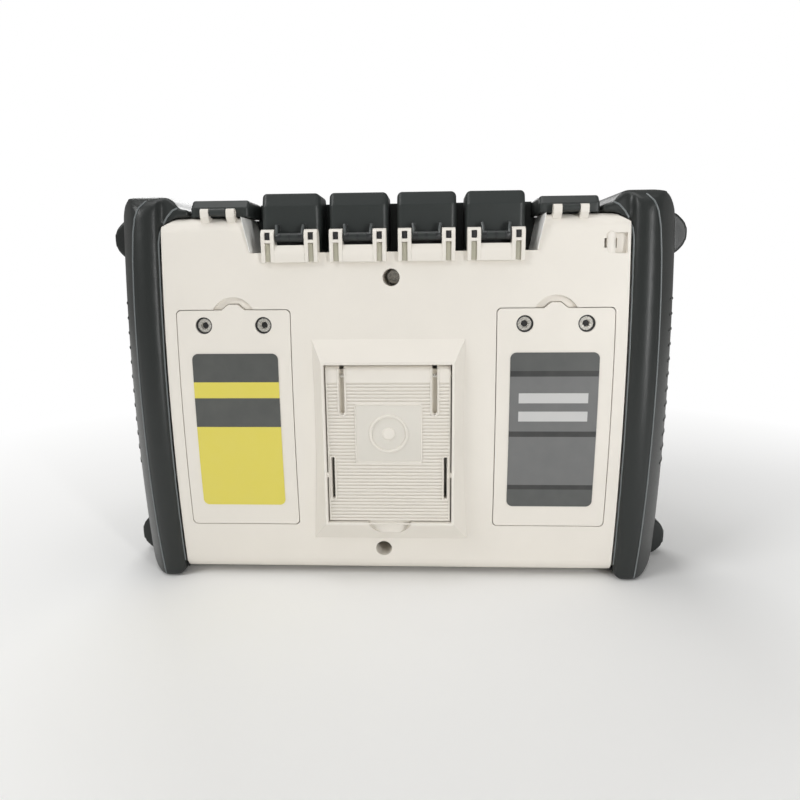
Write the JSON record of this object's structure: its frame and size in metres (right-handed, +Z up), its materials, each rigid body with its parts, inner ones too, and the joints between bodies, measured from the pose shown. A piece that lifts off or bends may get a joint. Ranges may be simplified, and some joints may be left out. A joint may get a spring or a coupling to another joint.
{
  "type": "optical time domain reflectometer",
  "caption": "Handheld fibre tester with rubber end bumpers, hinged port caps, kickstand, keys and a front display.",
  "frame": {"origin": "under the middle of the instrument, on the plane that the bumper soles stand on", "axes": "+X to the left of a person looking at the back, +Y out of the back, +Z up"},
  "size_m": [0.253, 0.0736, 0.1662],
  "materials": {
    "housing_plastic": "fine moulded texture",
    "bumper_rubber": "satin moulded rubber",
    "dark_plastic": "satin",
    "black_plastic": "matt",
    "steel": "turned",
    "nickel": "plated",
    "lens_glass": "clear cover lens",
    "display_black": "gloss",
    "aluminium": "satin sheet",
    "board_green": "solder mask",
    "key_silicone": "satin silicone",
    "key_red": "satin silicone",
    "lamp_clear": "clear",
    "seal_rubber": "matt",
    "pack_wrap": "shrink wrap",
    "label_yellow": "printed film",
    "label_grey": "printed film"
  },
  "bodies": {
    "case": {"rear_housing": "housing_plastic", "front_housing": "housing_plastic", "bumper_left": "bumper_rubber", "bumper_right": "bumper_rubber", "battery_door": "housing_plastic", "module_door": "housing_plastic", "battery_label": "label_yellow", "module_label": "label_grey", "door_screws": "steel", "housing_screws": "steel", "kickstand_pin": "steel", "port_cap_pins": "steel", "cover_pins": "steel", "port_panel": "dark_plastic", "optical_adapters": "nickel", "usb_socket": "steel", "power_jack": "black_plastic", "screen_lens": "lens_glass", "display_module": "display_black", "display_bracket": "aluminium", "keypad_mat": "key_silicone", "keypad_board": "board_green", "main_board": "board_green", "status_lamps": "lamp_clear", "case_seal": "seal_rubber", "battery_pack": "pack_wrap", "battery_contacts": "black_plastic", "optical_module": "aluminium"},
    "kickstand": {"kickstand": "housing_plastic"},
    "usb_cover": {"usb_cover": "dark_plastic"},
    "power_cover": {"power_cover": "dark_plastic"},
    "port_cap_1": {"port_cap_1": "dark_plastic"},
    "port_cap_2": {"port_cap_2": "dark_plastic"},
    "port_cap_3": {"port_cap_3": "dark_plastic"},
    "port_cap_4": {"port_cap_4": "dark_plastic"},
    "function_key_1": {"function_key_1": "key_silicone"},
    "function_key_2": {"function_key_2": "key_silicone"},
    "function_key_3": {"function_key_3": "key_silicone"},
    "function_key_4": {"function_key_4": "key_silicone"},
    "function_key_5": {"function_key_5": "key_silicone"},
    "side_key_1": {"side_key_1": "key_silicone"},
    "side_key_2": {"side_key_2": "key_silicone"},
    "side_key_3": {"side_key_3": "key_silicone"},
    "side_key_4": {"side_key_4": "key_silicone"},
    "power_key": {"power_key": "key_red"},
    "ok_key": {"ok_key": "key_silicone"},
    "arrow_key_right": {"arrow_key_right": "key_silicone"},
    "arrow_key_up": {"arrow_key_up": "key_silicone"},
    "arrow_key_left": {"arrow_key_left": "key_silicone"},
    "arrow_key_down": {"arrow_key_down": "key_silicone"}
  },
  "joints": [
    {"name": "kickstand_hinge", "type": "hinge", "parent": "case", "child": "kickstand", "pos_m": [0.0021, 0.0321, 0.0928], "axis": [1, 0, 0], "range_deg": [0, 60]},
    {"name": "port_cap_1_hinge", "type": "hinge", "parent": "case", "child": "port_cap_1", "pos_m": [0.0414, 0.0282, 0.1486], "axis": [-1, 0, 0], "range_deg": [0, 110]},
    {"name": "port_cap_2_hinge", "type": "hinge", "parent": "case", "child": "port_cap_2", "pos_m": [0.0138, 0.0282, 0.1486], "axis": [-1, 0, 0], "range_deg": [0, 110]},
    {"name": "port_cap_3_hinge", "type": "hinge", "parent": "case", "child": "port_cap_3", "pos_m": [-0.0138, 0.0282, 0.1486], "axis": [-1, 0, 0], "range_deg": [0, 110]},
    {"name": "port_cap_4_hinge", "type": "hinge", "parent": "case", "child": "port_cap_4", "pos_m": [-0.0414, 0.0282, 0.1486], "axis": [-1, 0, 0], "range_deg": [0, 110]},
    {"name": "usb_cover_hinge", "type": "hinge", "parent": "case", "child": "usb_cover", "pos_m": [0.071, 0.0256, 0.1589], "axis": [-1, 0, 0], "range_deg": [0, 110]},
    {"name": "power_cover_hinge", "type": "hinge", "parent": "case", "child": "power_cover", "pos_m": [-0.071, 0.0256, 0.1589], "axis": [-1, 0, 0], "range_deg": [0, 110]},
    {"name": "function_key_1_press", "type": "slide", "parent": "case", "child": "function_key_1", "axis": [0, 1, 0], "range_m": [0, 0.0008], "stiffness_N_per_m": 2000},
    {"name": "function_key_2_press", "type": "slide", "parent": "case", "child": "function_key_2", "axis": [0, 1, 0], "range_m": [0, 0.0008], "stiffness_N_per_m": 2000},
    {"name": "function_key_3_press", "type": "slide", "parent": "case", "child": "function_key_3", "axis": [0, 1, 0], "range_m": [0, 0.0008], "stiffness_N_per_m": 2000},
    {"name": "function_key_4_press", "type": "slide", "parent": "case", "child": "function_key_4", "axis": [0, 1, 0], "range_m": [0, 0.0008], "stiffness_N_per_m": 2000},
    {"name": "function_key_5_press", "type": "slide", "parent": "case", "child": "function_key_5", "axis": [0, 1, 0], "range_m": [0, 0.0008], "stiffness_N_per_m": 2000},
    {"name": "side_key_1_press", "type": "slide", "parent": "case", "child": "side_key_1", "axis": [0, 1, 0], "range_m": [0, 0.0008], "stiffness_N_per_m": 2000},
    {"name": "side_key_2_press", "type": "slide", "parent": "case", "child": "side_key_2", "axis": [0, 1, 0], "range_m": [0, 0.0008], "stiffness_N_per_m": 2000},
    {"name": "side_key_3_press", "type": "slide", "parent": "case", "child": "side_key_3", "axis": [0, 1, 0], "range_m": [0, 0.0008], "stiffness_N_per_m": 2000},
    {"name": "side_key_4_press", "type": "slide", "parent": "case", "child": "side_key_4", "axis": [0, 1, 0], "range_m": [0, 0.0008], "stiffness_N_per_m": 2000},
    {"name": "power_key_press", "type": "slide", "parent": "case", "child": "power_key", "axis": [0, 1, 0], "range_m": [0, 0.0008], "stiffness_N_per_m": 2000},
    {"name": "ok_key_press", "type": "slide", "parent": "case", "child": "ok_key", "axis": [0, 1, 0], "range_m": [0, 0.0008], "stiffness_N_per_m": 2000},
    {"name": "arrow_key_right_press", "type": "slide", "parent": "case", "child": "arrow_key_right", "axis": [0, 1, 0], "range_m": [0, 0.0008], "stiffness_N_per_m": 2000},
    {"name": "arrow_key_up_press", "type": "slide", "parent": "case", "child": "arrow_key_up", "axis": [0, 1, 0], "range_m": [0, 0.0008], "stiffness_N_per_m": 2000},
    {"name": "arrow_key_left_press", "type": "slide", "parent": "case", "child": "arrow_key_left", "axis": [0, 1, 0], "range_m": [0, 0.0008], "stiffness_N_per_m": 2000},
    {"name": "arrow_key_down_press", "type": "slide", "parent": "case", "child": "arrow_key_down", "axis": [0, 1, 0], "range_m": [0, 0.0008], "stiffness_N_per_m": 2000}
  ]
}
